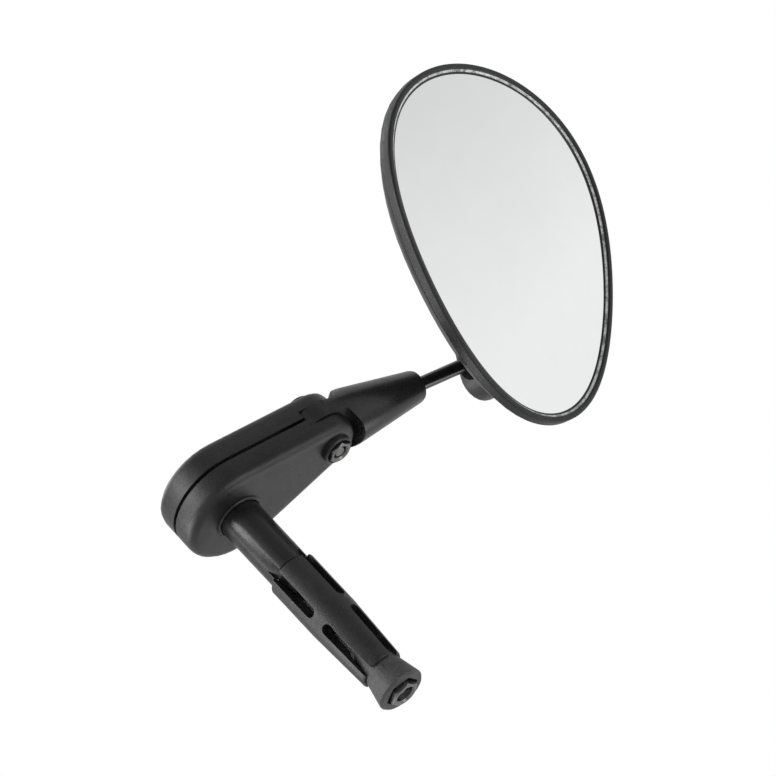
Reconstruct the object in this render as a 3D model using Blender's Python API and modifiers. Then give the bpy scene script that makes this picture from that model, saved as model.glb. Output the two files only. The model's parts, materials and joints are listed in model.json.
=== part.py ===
"""Bar-end bicycle mirror.

An expanding plug fixes it in the open end of a handlebar. A teardrop arm of two half shells
turns on the plug, a knuckle swings between the shells, and the mirror head sits on a ball at
the end of a straight rod.

Frame: the origin is on the plug's axis in the plane of the collar that enters the bar.
+X runs along the plug into the bar, +Z up along the arm, and the rider is on the -Y side.
Dimensions are in millimetres and are scaled to metres where meshes are made.
"""

import math

import bmesh
import bpy
from mathutils import Matrix, Vector

MM = 0.001
GAP = 0.3

# Arm: a teardrop outline round the plug's axis and the pivot's axis
PIVOT_HEIGHT = 37.0
BIG_END_RADIUS = 17.6
SMALL_END_RADIUS = 8.6
INNER_FACE_X = -0.7
INNER_SEAM_X = -8.8
OUTER_SEAM_X = -10.0
OUTER_FACE_X = -18.5
INNER_ROUNDING = 3.0
OUTER_ROUNDING = 2.8
COLLAR_RADIUS = 8.1
BOSS_RADIUS = 5.1
BOSS_HEIGHT = 1.9

# Knuckle between the half shells
TONGUE_X = -9.5
TONGUE_THICKNESS = 6.0
TONGUE_RADIUS = 9.4
TONGUE_POCKET_RADIUS = 10.5
KNUCKLE_LEAN = math.radians(19.6)
KNUCKLE_LENGTH = 40.4
KNUCKLE_ROOT_RADIUS = 9.35
KNUCKLE_TIP_RADIUS = 5.5
KNUCKLE_TAPER_START = 11.8
SHOULDER_RADIUS = 11.5
WASHER_RADIUS = 6.5
WASHER_THICKNESS = 0.6

# Pivot bolt, M4
PIVOT_BOLT_RADIUS = 2.0
PIVOT_HEAD_RADIUS = 3.5
PIVOT_HEAD_HEIGHT = 4.0
PIVOT_NUT_FLATS = 7.0
PIVOT_NUT_HEIGHT = 3.2

# Plug tube
TUBE_ROOT_RADIUS = 6.95
TUBE_END_RADIUS = 6.8
TUBE_END_X = 25.4
TUBE_BORE_RADIUS = 2.9
TUBE_FLANGE_RADIUS = 9.6
TUBE_FLANGE_THICKNESS = 2.0
TUBE_RAMP_END_X = 33.0
TUBE_NOTCH_X = 20.6
TUBE_NOTCH_SLOPE = math.radians(22.0)

# Expander sleeve
SLEEVE_START_X = 25.7
SLEEVE_WIDEST_X = 45.5
SLEEVE_END_X = 68.1
SLEEVE_START_RADIUS = 8.0
SLEEVE_WIDEST_RADIUS = 7.9
SLEEVE_END_RADIUS = 6.9
SLEEVE_BORE_RADIUS = 3.6
SLOT_WIDTH = 3.5
SLOT_TURN = math.radians(45.0)
UPPER_SLOT_END_X = 43.8
LOWER_SLOT_START_X = 48.2

# Expander wedge, nut and bolt, M5
WEDGE_NOSE_X = 60.5
WEDGE_RIM_X = 76.2
WEDGE_END_X = 77.2
WEDGE_NOSE_RADIUS = 4.3
WEDGE_RIM_RADIUS = 7.6
WEDGE_POCKET_FLATS = 9.8
WEDGE_POCKET_X = 74.4
WEDGE_TRAVEL = 1.0
EXPANDER_BOLT_RADIUS = 2.5
EXPANDER_HEAD_RADIUS = 4.25
EXPANDER_HEAD_HEIGHT = 5.0
EXPANDER_NUT_FLATS = 8.0
EXPANDER_NUT_HEIGHT = 4.0
EXPANDER_BOLT_END_X = 77.0

# Rod and ball joint, measured from the pivot along the knuckle
ROD_RADIUS = 2.3
ROD_START = 26.3
BALL_DISTANCE = 73.0
BALL_RADIUS = 4.0
SEAT_INNER_RADIUS = BALL_RADIUS + GAP
SEAT_OUTER_RADIUS = SEAT_INNER_RADIUS + 0.9
SOCKET_RADIUS = SEAT_OUTER_RADIUS + GAP
ROD_SWING = math.radians(16.0)

# Mirror head: an egg outline, narrow end along local +Y, glass facing local +Z
MIRROR_AZIMUTH = math.radians(37.4)
MIRROR_ELEVATION = math.radians(27.4)
MIRROR_ROLL = math.radians(30.1)
EGG_LENGTH = 124.2
EGG_HALF_WIDTH = 46.4
EGG_TAPER = (-0.235, 0.0726, 0.0588)
EGG_CENTRE_Y = -31.5
FRONT_Z = 20.4
OUTLINE_POINTS = 60
BEZEL_DEPTH = 3.6
BEZEL_WALL = 1.7
LIP_WIDTH = 2.3
LIP_THICKNESS = 1.2
GLASS_INSET = BEZEL_WALL + GAP
GLASS_THICKNESS = 1.6
GLASS_EDGE_DEPTH = LIP_THICKNESS + GAP
GLASS_BEVEL = 1.3
GLASS_CROWN = 1.6
SEAL_DEPTH = GLASS_EDGE_DEPTH + GLASS_THICKNESS + GAP
SEAL_THICKNESS = 0.8
HOUSING_DEPTH = 13.4
HOUSING_SKIN = 1.8
HOUSING_TUCK = 1.6

# Ball boss on the back of the housing, a stadium along local Y, and its cap
SOCKET_BLOCK_RADIUS = 8.5
SOCKET_BLOCK_STRAIGHT = 11.0
CAP_DEPTH = 8.8
CAP_SCREW_OFFSET = 10.2
CAP_SCREW_RADIUS = 1.25
CAP_SCREW_HEAD_RADIUS = 2.3
CAP_SCREW_HEAD_HEIGHT = 1.7
CAP_SCREW_LENGTH = 9.0


def clear_scene():
    for obj in list(bpy.data.objects):
        bpy.data.objects.remove(obj)


def new_collection(name):
    collection = bpy.data.collections.new(name)
    bpy.context.scene.collection.children.link(collection)
    return collection


def new_material(name, colour, roughness, metallic=0.0):
    material = bpy.data.materials.new(name)
    material.use_nodes = True
    shader = material.node_tree.nodes["Principled BSDF"]
    shader.inputs["Base Color"].default_value = (*colour, 1.0)
    shader.inputs["Roughness"].default_value = roughness
    shader.inputs["Metallic"].default_value = metallic
    return material


def place(mesh, name, matrix=None, parent=None, cutter=False):
    """Link a mesh as an object, with its matrix in its parent's frame."""
    obj = bpy.data.objects.new(name, mesh)
    if cutter:
        CUTTERS.objects.link(obj)
        obj.hide_render = True
        obj.display_type = "WIRE"
    else:
        PARTS.objects.link(obj)
    obj.parent = parent
    if matrix is not None:
        obj.matrix_basis = matrix
    return obj


def add_empty(name, matrix, parent=None):
    empty = bpy.data.objects.new(name, None)
    empty.empty_display_size = 10 * MM
    PARTS.objects.link(empty)
    empty.parent = parent
    empty.matrix_basis = matrix
    return empty


def shift(x=0.0, y=0.0, z=0.0):
    return Matrix.Translation(Vector((x, y, z)) * MM)


def along_x(x=0.0, y=0.0, z=0.0, turn=0.0):
    """Frame at a point with its local Z along +X and its local X along -Z, turned about +X."""
    return shift(x, y, z) @ Matrix.Rotation(turn, 4, "X") @ Matrix.Rotation(math.pi / 2, 4, "Y")


def finish(obj, material, angle=35.0):
    obj.data.materials.clear()
    obj.data.materials.append(material)
    obj.data.shade_smooth()
    obj.data.set_sharp_from_angle(angle=math.radians(angle))
    return obj


def turned(name, profile, matrix=None, parent=None, steps=36, cutter=False, closed=False):
    """Screw a profile of (radius, height) pairs round local Z.

    The profile runs down the outer side, from top to bottom.
    """
    mesh = bpy.data.meshes.new(name)
    bm = bmesh.new()
    points = [bm.verts.new(Vector((r, 0.0, z)) * MM) for r, z in profile]
    for first, second in zip(points, points[1:]):
        bm.edges.new((first, second))
    if closed:
        bm.edges.new((points[-1], points[0]))
    bm.to_mesh(mesh)
    bm.free()
    obj = place(mesh, name, matrix, parent, cutter)
    screw = obj.modifiers.new("Turn", "SCREW")
    screw.steps = steps
    screw.render_steps = steps
    screw.use_merge_vertices = True
    screw.merge_threshold = 0.00001
    return obj


def disc_profile(radius, low, high):
    return [(0.0, high), (radius, high), (radius, low), (0.0, low)]


def ring_profile(outer, inner, low, high):
    return [(inner, high), (outer, high), (outer, low), (inner, low)]


def ball_profile(radius, count=12):
    angles = [math.pi * i / count for i in range(count + 1)]
    profile = [(radius * math.sin(a), radius * math.cos(a)) for a in angles]
    profile[0] = (0.0, radius)
    profile[-1] = (0.0, -radius)
    return profile


def zone_profile(inner, outer, start, end, count=4):
    """Closed section of a spherical zone between two polar angles from local +Z."""
    angles = [start + (end - start) * i / count for i in range(count + 1)]
    outside = [(outer * math.sin(a), outer * math.cos(a)) for a in angles]
    inside = [(inner * math.sin(a), inner * math.cos(a)) for a in reversed(angles)]
    return outside + inside


def outline_solid(name, points, low, high, matrix=None, parent=None, cutter=False):
    """Flat outline in local XY, extruded from low to high along local Z."""
    curve = bpy.data.curves.new(name + "_outline", "CURVE")
    curve.dimensions = "2D"
    curve.fill_mode = "BOTH"
    curve.extrude = (high - low) / 2 * MM
    spline = curve.splines.new("POLY")
    spline.points.add(len(points) - 1)
    for point, (x, y) in zip(spline.points, points):
        point.co = (x * MM, y * MM, 0.0, 1.0)
    spline.use_cyclic_u = True
    drawn = bpy.data.objects.new(name + "_outline", curve)
    bpy.context.scene.collection.objects.link(drawn)
    graph = bpy.context.evaluated_depsgraph_get()
    mesh = bpy.data.meshes.new_from_object(drawn.evaluated_get(graph))
    bpy.data.objects.remove(drawn)
    mesh.name = name
    bm = bmesh.new()
    bm.from_mesh(mesh)
    bmesh.ops.remove_doubles(bm, verts=bm.verts, dist=1e-6)
    bmesh.ops.translate(bm, verts=bm.verts, vec=(0.0, 0.0, (high + low) / 2 * MM))
    bmesh.ops.dissolve_limit(bm, angle_limit=0.001, verts=bm.verts, edges=bm.edges)
    bmesh.ops.recalc_face_normals(bm, faces=bm.faces)
    bm.to_mesh(mesh)
    bm.free()
    return place(mesh, name, matrix, parent, cutter)


def round_end(obj, high, width, segments=3):
    """Bevel the rim of the flat end at local height high."""
    bm = bmesh.new()
    bm.from_mesh(obj.data)
    weights = bm.edges.layers.float.new("bevel_weight_edge")
    for edge in bm.edges:
        on_rim = all(abs(v.co.z - high * MM) < 1e-6 for v in edge.verts)
        edge[weights] = 1.0 if on_rim else 0.0
    bm.to_mesh(obj.data)
    bm.free()
    bevel = obj.modifiers.new("Rounding", "BEVEL")
    bevel.limit_method = "WEIGHT"
    bevel.width = width * MM
    bevel.segments = segments
    return obj


def block(name, size, centre, matrix=None, parent=None, cutter=True):
    mesh = bpy.data.meshes.new(name)
    bm = bmesh.new()
    bmesh.ops.create_cube(bm, size=1.0)
    bmesh.ops.scale(bm, vec=Vector(size) * MM, verts=bm.verts)
    bmesh.ops.translate(bm, vec=Vector(centre) * MM, verts=bm.verts)
    bm.to_mesh(mesh)
    bm.free()
    return place(mesh, name, matrix, parent, cutter)


def combine(obj, tool, operation):
    modifier = obj.modifiers.new(tool.name, "BOOLEAN")
    modifier.operation = operation
    modifier.solver = "EXACT"
    modifier.object = tool
    return obj


def cut(obj, *tools):
    for tool in tools:
        combine(obj, tool, "DIFFERENCE")
    return obj


def join(obj, *tools):
    for tool in tools:
        combine(obj, tool, "UNION")
    return obj


def teardrop(inset=0.0, count=20):
    """Hull of the big end's and the small end's circles; local X is down, local Y is +Y."""
    lean = math.asin((BIG_END_RADIUS - SMALL_END_RADIUS) / PIVOT_HEIGHT)
    points = []
    ends = (
        (0.0, BIG_END_RADIUS - inset, math.pi / 2 - lean, 3 * math.pi / 2 + lean),
        (PIVOT_HEIGHT, SMALL_END_RADIUS - inset, -math.pi / 2 + lean, math.pi / 2 - lean),
    )
    for height, radius, start, end in ends:
        for i in range(count + 1):
            angle = start + (end - start) * i / count
            points.append((-height - radius * math.cos(angle), radius * math.sin(angle)))
    return points


def hexagon(flats):
    radius = flats / math.sqrt(3)
    return [
        (radius * math.cos(math.pi * i / 3), radius * math.sin(math.pi * i / 3))
        for i in range(6)
    ]


def stadium(radius, straight, count=12):
    """Rounded strip along local Y."""
    points = []
    for centre, start in ((straight / 2, 0.0), (-straight / 2, math.pi)):
        for i in range(count + 1):
            angle = start + math.pi * i / count
            points.append((radius * math.cos(angle), centre + radius * math.sin(angle)))
    return points


def slot_outline(open_end, closed_end, count=8):
    """Slot along local -X with a round closed end."""
    half = SLOT_WIDTH / 2
    way = 1.0 if closed_end > open_end else -1.0
    points = [(-open_end, way * half), (-open_end, -way * half)]
    for i in range(count + 1):
        angle = math.pi * (i / count - 0.5)
        reach = closed_end + way * half * (math.cos(angle) - 1.0)
        points.append((-reach, way * half * math.sin(angle)))
    return points


def egg(inset=0.0, tuck=0.0):
    """Outline of the mirror head, moved inward along its normals: by inset all round, and by
    as much as tuck more towards the narrow end."""
    outline = []
    half_length = EGG_LENGTH / 2
    for i in range(OUTLINE_POINTS):
        angle = 2 * math.pi * i / OUTLINE_POINTS
        s = math.sin(angle)
        c = math.cos(angle)
        k1, k2, k3 = EGG_TAPER
        swell = 1 + k1 * s + k2 * s**2 + k3 * s**3
        slope = (k1 + 2 * k2 * s + 3 * k3 * s**2) * c
        x = EGG_HALF_WIDTH * c * swell
        dx = EGG_HALF_WIDTH * (-s * swell + c * slope)
        dy = half_length * c
        length = math.hypot(dx, dy)
        y = EGG_CENTRE_Y + half_length * s
        inward = (inset + tuck * max(0.0, s)) / length
        outline.append((x - inward * dy, y + inward * dx))
    return outline


def shrunk_egg(share):
    """The egg outline scaled towards its centre."""
    return [
        (x * share, EGG_CENTRE_Y + (y - EGG_CENTRE_Y) * share) for x, y in egg(0.0)
    ]


def lofted(name, rings, parent, closed_section):
    """Skin a stack of rings; each ring is (outline, height).

    A closed section joins the last ring to the first, and an open one is capped at both ends.
    """
    mesh = bpy.data.meshes.new(name)
    bm = bmesh.new()
    loops = [
        [bm.verts.new(Vector((x, y, height)) * MM) for x, y in outline]
        for outline, height in rings
    ]
    pairs = list(zip(loops, loops[1:]))
    if closed_section:
        pairs.append((loops[-1], loops[0]))
    for upper, lower in pairs:
        for i in range(OUTLINE_POINTS):
            k = (i + 1) % OUTLINE_POINTS
            bm.faces.new((upper[i], lower[i], lower[k], upper[k]))
    if not closed_section:
        bm.faces.new(loops[0])
        bm.faces.new(loops[-1][::-1])
    bmesh.ops.recalc_face_normals(bm, faces=bm.faces)
    bm.to_mesh(mesh)
    bm.free()
    return place(mesh, name, None, parent)


def depth(value):
    """Local height of a plane that lies value behind the bezel's front."""
    return FRONT_Z - value


def build_plug():
    tube = turned(
        "plug_tube",
        [
            (TUBE_BORE_RADIUS, TUBE_RAMP_END_X),
            (4.3, TUBE_RAMP_END_X),
            (5.7, TUBE_END_X),
            (TUBE_END_RADIUS - 0.4, TUBE_END_X),
            (TUBE_END_RADIUS, TUBE_END_X - 0.4),
            (TUBE_ROOT_RADIUS, 0.0),
            (TUBE_ROOT_RADIUS, INNER_SEAM_X + TUBE_FLANGE_THICKNESS),
            (TUBE_FLANGE_RADIUS, INNER_SEAM_X + TUBE_FLANGE_THICKNESS),
            (TUBE_FLANGE_RADIUS, INNER_SEAM_X),
            (TUBE_BORE_RADIUS, INNER_SEAM_X),
        ],
        along_x(),
        closed=True,
    )
    for i in range(4):
        turn = SLOT_TURN + i * math.pi / 2
        ramp = along_x(TUBE_NOTCH_X, turn=turn) @ shift(TUBE_ROOT_RADIUS + 0.1)
        notch = block(
            f"cut_tube_notch_{i}",
            (4.0, SLOT_WIDTH, 9.0),
            (2.0, 0.0, 4.5),
            ramp @ Matrix.Rotation(-TUBE_NOTCH_SLOPE, 4, "Y"),
        )
        cut(tube, notch)
    finish(tube, BLACK_PLASTIC)

    pocket_gap = GAP + WEDGE_TRAVEL * (WEDGE_RIM_RADIUS - WEDGE_NOSE_RADIUS) / (
        WEDGE_RIM_X - WEDGE_NOSE_X
    )
    sleeve = turned(
        "expander_sleeve",
        [
            (6.1, SLEEVE_END_X),
            (SLEEVE_END_RADIUS - 0.3, SLEEVE_END_X),
            (SLEEVE_END_RADIUS, SLEEVE_END_X - 0.5),
            (SLEEVE_WIDEST_RADIUS, SLEEVE_WIDEST_X),
            (SLEEVE_START_RADIUS, SLEEVE_START_X + 0.4),
            (SLEEVE_START_RADIUS - 0.4, SLEEVE_START_X),
            (6.1, SLEEVE_START_X),
            (4.7, TUBE_RAMP_END_X + 0.4),
            (SLEEVE_BORE_RADIUS, TUBE_RAMP_END_X + 1.5),
            (SLEEVE_BORE_RADIUS, WEDGE_NOSE_X - 2.6),
            (WEDGE_NOSE_RADIUS + pocket_gap, WEDGE_NOSE_X - 1.4),
        ],
        along_x(),
        closed=True,
    )
    reach = SLEEVE_WIDEST_RADIUS + 2.0
    for label, open_end, closed_end in (
        ("upper", SLEEVE_START_X - 1.0, UPPER_SLOT_END_X),
        ("lower", SLEEVE_END_X + 1.0, LOWER_SLOT_START_X),
    ):
        for i in range(2):
            across = along_x(turn=SLOT_TURN + i * math.pi / 2)
            slot = outline_solid(
                f"cut_sleeve_{label}_{i}",
                slot_outline(open_end, closed_end),
                -reach,
                reach,
                across @ Matrix.Rotation(math.pi / 2, 4, "Y"),
                cutter=True,
            )
            cut(sleeve, slot)
    finish(sleeve, SATIN_PLASTIC)


def wedge_radius(x):
    share = (x - WEDGE_NOSE_X) / (WEDGE_RIM_X - WEDGE_NOSE_X)
    return WEDGE_NOSE_RADIUS + (WEDGE_RIM_RADIUS - WEDGE_NOSE_RADIUS) * share


def build_expander():
    axis = add_empty("AXIS_expander", Matrix.Identity(4))
    wedge = turned(
        "expander_wedge",
        [
            (EXPANDER_BOLT_RADIUS + GAP, WEDGE_END_X),
            (WEDGE_RIM_RADIUS - 0.6, WEDGE_END_X),
            (WEDGE_RIM_RADIUS, WEDGE_RIM_X + 0.3),
            (WEDGE_RIM_RADIUS, WEDGE_RIM_X),
            (WEDGE_NOSE_RADIUS, WEDGE_NOSE_X),
            (EXPANDER_BOLT_RADIUS + GAP, WEDGE_NOSE_X),
        ],
        along_x(),
        parent=axis,
        closed=True,
    )
    pocket = outline_solid(
        "cut_wedge_pocket",
        hexagon(WEDGE_POCKET_FLATS),
        WEDGE_POCKET_X,
        WEDGE_END_X + 1.0,
        along_x(),
        cutter=True,
    )
    key_start = SLEEVE_END_X + WEDGE_TRAVEL + GAP
    key = block(
        "join_wedge_key",
        (1.6, 1.3, WEDGE_RIM_X - key_start),
        (wedge_radius(key_start) - 0.35, 0.0, (WEDGE_RIM_X + key_start) / 2),
        along_x(turn=SLOT_TURN + math.radians(239)),
    )
    join(wedge, key)
    cut(wedge, pocket)
    finish(wedge, RUBBERY_PLASTIC)

    nut_low = WEDGE_POCKET_X + GAP
    hex_nut("expander_nut", EXPANDER_NUT_FLATS, nut_low, EXPANDER_NUT_HEIGHT,
            EXPANDER_BOLT_RADIUS + GAP, along_x(turn=math.radians(8)), axis)

    head_top = OUTER_FACE_X + 0.6
    head_under = head_top + EXPANDER_HEAD_HEIGHT
    bolt = turned(
        "expander_bolt",
        [
            (0.0, EXPANDER_BOLT_END_X),
            (EXPANDER_BOLT_RADIUS - 0.5, EXPANDER_BOLT_END_X),
            (EXPANDER_BOLT_RADIUS, EXPANDER_BOLT_END_X - 0.6),
            (EXPANDER_BOLT_RADIUS, head_under),
            (EXPANDER_HEAD_RADIUS, head_under),
            (EXPANDER_HEAD_RADIUS, head_top + 0.5),
            (EXPANDER_HEAD_RADIUS - 0.5, head_top),
            (0.0, head_top),
        ],
        along_x(),
        parent=axis,
        steps=32,
    )
    key_hole = outline_solid(
        "cut_expander_key", hexagon(4.0), head_top - 1.0, head_top + 2.6, along_x(), cutter=True
    )
    cut(bolt, key_hole)
    finish(bolt, STEEL)

    washer_low = head_under + GAP
    washer = turned(
        "expander_washer",
        ring_profile(5.0, EXPANDER_BOLT_RADIUS + GAP, washer_low, washer_low + 1.0),
        along_x(),
        steps=28,
        closed=True,
    )
    finish(washer, STEEL)
    return washer_low + 1.0 + GAP


def hex_nut(name, flats, low, height, bore, matrix, parent=None):
    """Hexagonal nut with its corners chamfered on the outer face."""
    nut = outline_solid(name, hexagon(flats), low, low + height, matrix, parent)
    corner = flats / math.sqrt(3)
    chamfer = turned(
        f"keep_{name}",
        [
            (0.0, low + height + 0.01),
            (flats / 2 - 0.05, low + height + 0.01),
            (corner + 0.3, low + height - 0.75),
            (corner + 0.3, low - 0.5),
            (0.0, low - 0.5),
        ],
        matrix,
        parent,
        steps=36,
        cutter=True,
    )
    hole = turned(
        f"cut_{name}_bore",
        [
            (0.0, low + height + 0.5),
            (bore + 1.0, low + height + 0.5),
            (bore, low + height - 0.5),
            (bore, low - 0.5),
            (0.0, low - 0.5),
        ],
        matrix,
        parent,
        steps=28,
        cutter=True,
    )
    combine(nut, chamfer, "INTERSECT")
    cut(nut, hole)
    return finish(nut, STEEL)


def build_arm(washer_floor):
    axis = add_empty("AXIS_arm_swing", Matrix.Identity(4))
    inner = outline_solid(
        "arm_shell_inner", teardrop(), INNER_SEAM_X, INNER_FACE_X, along_x(), axis
    )
    round_end(inner, INNER_FACE_X, INNER_ROUNDING)
    outer = outline_solid(
        "arm_shell_outer", teardrop(), OUTER_FACE_X, OUTER_SEAM_X, along_x(), axis
    )
    round_end(outer, OUTER_FACE_X, OUTER_ROUNDING)

    def tool(name, profile, z=0.0, steps=36):
        return turned(name, profile, along_x(z=z), axis, steps=steps, cutter=True)

    collar = tool(
        "join_collar",
        [
            (0.0, 0.0),
            (COLLAR_RADIUS - 0.35, 0.0),
            (COLLAR_RADIUS, -0.35),
            (COLLAR_RADIUS, INNER_FACE_X - 1.0),
            (0.0, INNER_FACE_X - 1.0),
        ],
    )
    boss_top = INNER_FACE_X + BOSS_HEIGHT
    inner_boss = tool(
        "join_inner_boss",
        [
            (0.0, boss_top),
            (BOSS_RADIUS - 0.4, boss_top),
            (BOSS_RADIUS, boss_top - 0.4),
            (BOSS_RADIUS + 0.15, INNER_FACE_X - 1.5),
            (0.0, INNER_FACE_X - 1.5),
        ],
        PIVOT_HEIGHT,
        32,
    )
    join(inner, collar, inner_boss)
    flange_top = INNER_SEAM_X + TUBE_FLANGE_THICKNESS + GAP
    tube_room = tool(
        "cut_tube_room",
        [
            (0.0, 1.0),
            (TUBE_ROOT_RADIUS + GAP, 1.0),
            (TUBE_ROOT_RADIUS + GAP, flange_top),
            (TUBE_FLANGE_RADIUS + GAP, flange_top),
            (TUBE_FLANGE_RADIUS + GAP, INNER_SEAM_X - 1.0),
            (0.0, INNER_SEAM_X - 1.0),
        ],
    )
    tongue_low = TONGUE_X - TONGUE_THICKNESS / 2 - GAP
    tongue_high = TONGUE_X + TONGUE_THICKNESS / 2 + GAP
    washer_low = tongue_low - WASHER_THICKNESS - GAP
    washer_high = tongue_high + WASHER_THICKNESS + GAP
    nut_face = boss_top + 0.9
    nut_low = nut_face - PIVOT_NUT_HEIGHT
    outer_boss_top = OUTER_FACE_X - BOSS_HEIGHT
    head_under = outer_boss_top - 0.5 + PIVOT_HEAD_HEIGHT
    steps = (
        (PIVOT_NUT_FLATS / math.sqrt(3) + GAP, INNER_FACE_X + 5.0, nut_low - GAP),
        (PIVOT_BOLT_RADIUS + GAP, nut_low - GAP, washer_high),
        (WASHER_RADIUS + GAP, washer_high, tongue_high),
        (TONGUE_POCKET_RADIUS, tongue_high, tongue_low),
        (WASHER_RADIUS + GAP, tongue_low, washer_low),
        (PIVOT_BOLT_RADIUS + GAP, washer_low, head_under + GAP),
        (PIVOT_HEAD_RADIUS + GAP, head_under + GAP, OUTER_FACE_X - 5.0),
    )
    profile = [(0.0, steps[0][1])]
    for radius, high, low in steps:
        profile += [(radius, high), (radius, low)]
    profile.append((0.0, steps[-1][2]))
    pivot_room = tool("cut_pivot_room", profile, PIVOT_HEIGHT)
    cut(inner, tube_room, pivot_room)
    finish(inner, SATIN_PLASTIC)

    outer_boss = tool(
        "join_outer_boss",
        [
            (0.0, OUTER_FACE_X + 1.5),
            (BOSS_RADIUS + 0.15, OUTER_FACE_X + 1.5),
            (BOSS_RADIUS, outer_boss_top + 0.4),
            (BOSS_RADIUS - 0.4, outer_boss_top),
            (0.0, outer_boss_top),
        ],
        PIVOT_HEIGHT,
        32,
    )
    join(outer, outer_boss)
    bolt_room = tool(
        "cut_bolt_room",
        [
            (0.0, OUTER_SEAM_X + 1.0),
            (EXPANDER_BOLT_RADIUS + GAP, OUTER_SEAM_X + 1.0),
            (EXPANDER_BOLT_RADIUS + GAP, washer_floor),
            (5.3, washer_floor),
            (5.3, OUTER_FACE_X - 1.0),
            (0.0, OUTER_FACE_X - 1.0),
        ],
    )
    cut(outer, pivot_room, bolt_room)
    finish(outer, SATIN_PLASTIC)

    pivot = turned(
        "pivot_bolt",
        [
            (0.0, nut_face - 0.5),
            (PIVOT_BOLT_RADIUS - 0.4, nut_face - 0.5),
            (PIVOT_BOLT_RADIUS, nut_face - 1.0),
            (PIVOT_BOLT_RADIUS, head_under),
            (PIVOT_HEAD_RADIUS, head_under),
            (PIVOT_HEAD_RADIUS, head_under - PIVOT_HEAD_HEIGHT + 0.4),
            (PIVOT_HEAD_RADIUS - 0.4, head_under - PIVOT_HEAD_HEIGHT),
            (0.0, head_under - PIVOT_HEAD_HEIGHT),
        ],
        along_x(z=PIVOT_HEIGHT),
        axis,
        steps=28,
    )
    key_hole = outline_solid(
        "cut_pivot_key",
        hexagon(3.0),
        head_under - PIVOT_HEAD_HEIGHT - 1.0,
        head_under - PIVOT_HEAD_HEIGHT + 2.2,
        along_x(z=PIVOT_HEIGHT),
        axis,
        cutter=True,
    )
    cut(pivot, key_hole)
    finish(pivot, STEEL)
    hex_nut("pivot_nut", PIVOT_NUT_FLATS, nut_low, PIVOT_NUT_HEIGHT, PIVOT_BOLT_RADIUS + GAP,
            along_x(z=PIVOT_HEIGHT, turn=math.radians(12)), axis)
    for name, low in (
        ("friction_washer_inner", tongue_high),
        ("friction_washer_outer", tongue_low - WASHER_THICKNESS),
    ):
        washer = turned(
            name,
            ring_profile(WASHER_RADIUS, PIVOT_BOLT_RADIUS + GAP, low, low + WASHER_THICKNESS),
            along_x(z=PIVOT_HEIGHT),
            axis,
            closed=True,
        )
        finish(washer, STEEL)


def build_knuckle():
    """The knuckle's local Z runs from the pivot to the ball; local X is the pivot's axis."""
    axis = add_empty(
        "AXIS_knuckle_pivot",
        shift(TONGUE_X, 0.0, PIVOT_HEIGHT) @ Matrix.Rotation(-KNUCKLE_LEAN, 4, "X"),
    )
    cone = turned(
        "knuckle",
        [
            (0.0, KNUCKLE_LENGTH),
            (KNUCKLE_TIP_RADIUS - 1.3, KNUCKLE_LENGTH),
            (KNUCKLE_TIP_RADIUS - 0.4, KNUCKLE_LENGTH - 0.4),
            (KNUCKLE_TIP_RADIUS, KNUCKLE_LENGTH - 1.4),
            (KNUCKLE_ROOT_RADIUS, KNUCKLE_TAPER_START),
            (KNUCKLE_ROOT_RADIUS, 0.0),
            (0.0, 0.0),
        ],
        parent=axis,
        steps=40,
    )
    across = Matrix.Rotation(math.pi / 2, 4, "Y")
    eye = turned(
        "join_tongue_eye",
        disc_profile(TONGUE_RADIUS, -TONGUE_THICKNESS / 2, TONGUE_THICKNESS / 2),
        across,
        axis,
        steps=40,
        cutter=True,
    )
    shoulders = [
        turned(
            f"cut_shoulder_{label}",
            disc_profile(SHOULDER_RADIUS, low, high),
            across,
            axis,
            steps=48,
            cutter=True,
        )
        for label, low, high in (
            ("inner", TONGUE_THICKNESS / 2, 20.0),
            ("outer", -20.0, -TONGUE_THICKNESS / 2),
        )
    ]
    eye_hole = turned(
        "cut_tongue_hole",
        disc_profile(PIVOT_BOLT_RADIUS + GAP, -10.0, 10.0),
        across,
        axis,
        steps=28,
        cutter=True,
    )
    rod_hole = turned(
        "cut_rod_hole",
        disc_profile(ROD_RADIUS + GAP, ROD_START - GAP, KNUCKLE_LENGTH + 1.0),
        parent=axis,
        steps=28,
        cutter=True,
    )
    cut(cone, *shoulders)
    join(cone, eye)
    cut(cone, eye_hole, rod_hole)
    finish(cone, BLACK_PLASTIC)

    neck = math.sqrt(BALL_RADIUS**2 - ROD_RADIUS**2)
    rod_profile = [
        (r, BALL_DISTANCE + z) for r, z in ball_profile(BALL_RADIUS) if z > -neck
    ]
    rod_profile += [
        (ROD_RADIUS, BALL_DISTANCE - neck),
        (ROD_RADIUS, ROD_START + 0.5),
        (ROD_RADIUS - 0.5, ROD_START),
        (0.0, ROD_START),
    ]
    rod = turned("mirror_rod", rod_profile, parent=axis, steps=28)
    finish(rod, GLOSSY_METAL)
    return axis


def mirror_frame():
    """Axes of the mirror head in the world: short axis, narrow end, and the way it faces."""
    facing = Vector(
        (
            math.sin(MIRROR_AZIMUTH) * math.cos(MIRROR_ELEVATION),
            -math.cos(MIRROR_AZIMUTH) * math.cos(MIRROR_ELEVATION),
            math.sin(MIRROR_ELEVATION),
        )
    )
    level = Vector((math.cos(MIRROR_AZIMUTH), math.sin(MIRROR_AZIMUTH), 0.0))
    narrow_end = level * math.cos(MIRROR_ROLL) - facing.cross(level) * math.sin(MIRROR_ROLL)
    short_axis = narrow_end.cross(facing)
    return Matrix((short_axis, narrow_end, facing)).transposed()


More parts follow.
